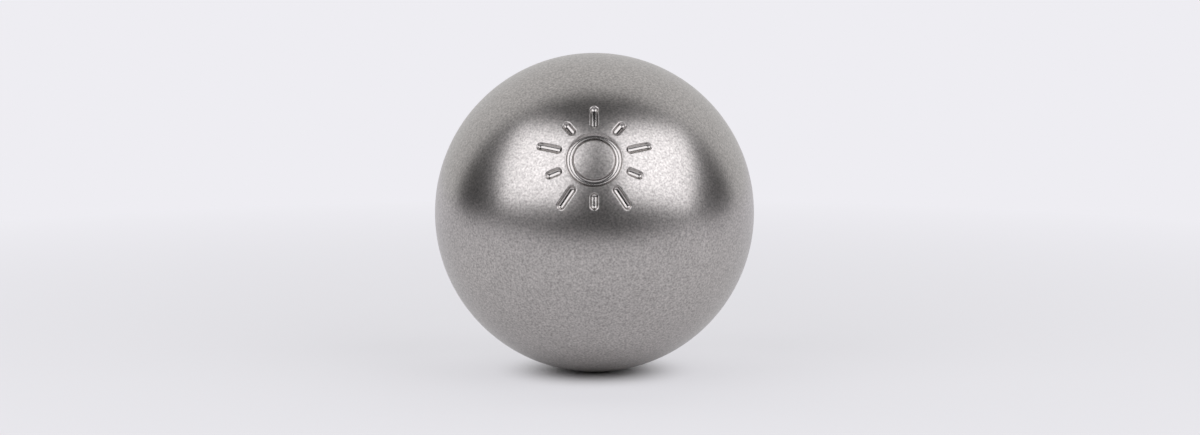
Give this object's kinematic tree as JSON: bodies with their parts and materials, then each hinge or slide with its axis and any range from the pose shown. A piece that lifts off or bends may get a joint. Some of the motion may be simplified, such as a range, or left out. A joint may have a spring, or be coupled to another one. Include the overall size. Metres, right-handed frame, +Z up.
{
  "type": "petanque ball",
  "caption": "Hollow steel petanque ball with a blasted satin surface and a plain sun engraved in its front, to be thrown or rolled at a target ball.",
  "frame": {"origin": "centre of the ball", "axes": "+Z up; the engraved sun is on the -Y side, with its middle 25 degrees above the ball's equator and in the plane X = 0"},
  "size_m": [0.074, 0.074, 0.074],
  "materials": {
    "steel": "satin"
  },
  "bodies": {
    "root": {"ball": "steel"}
  },
  "joints": []
}
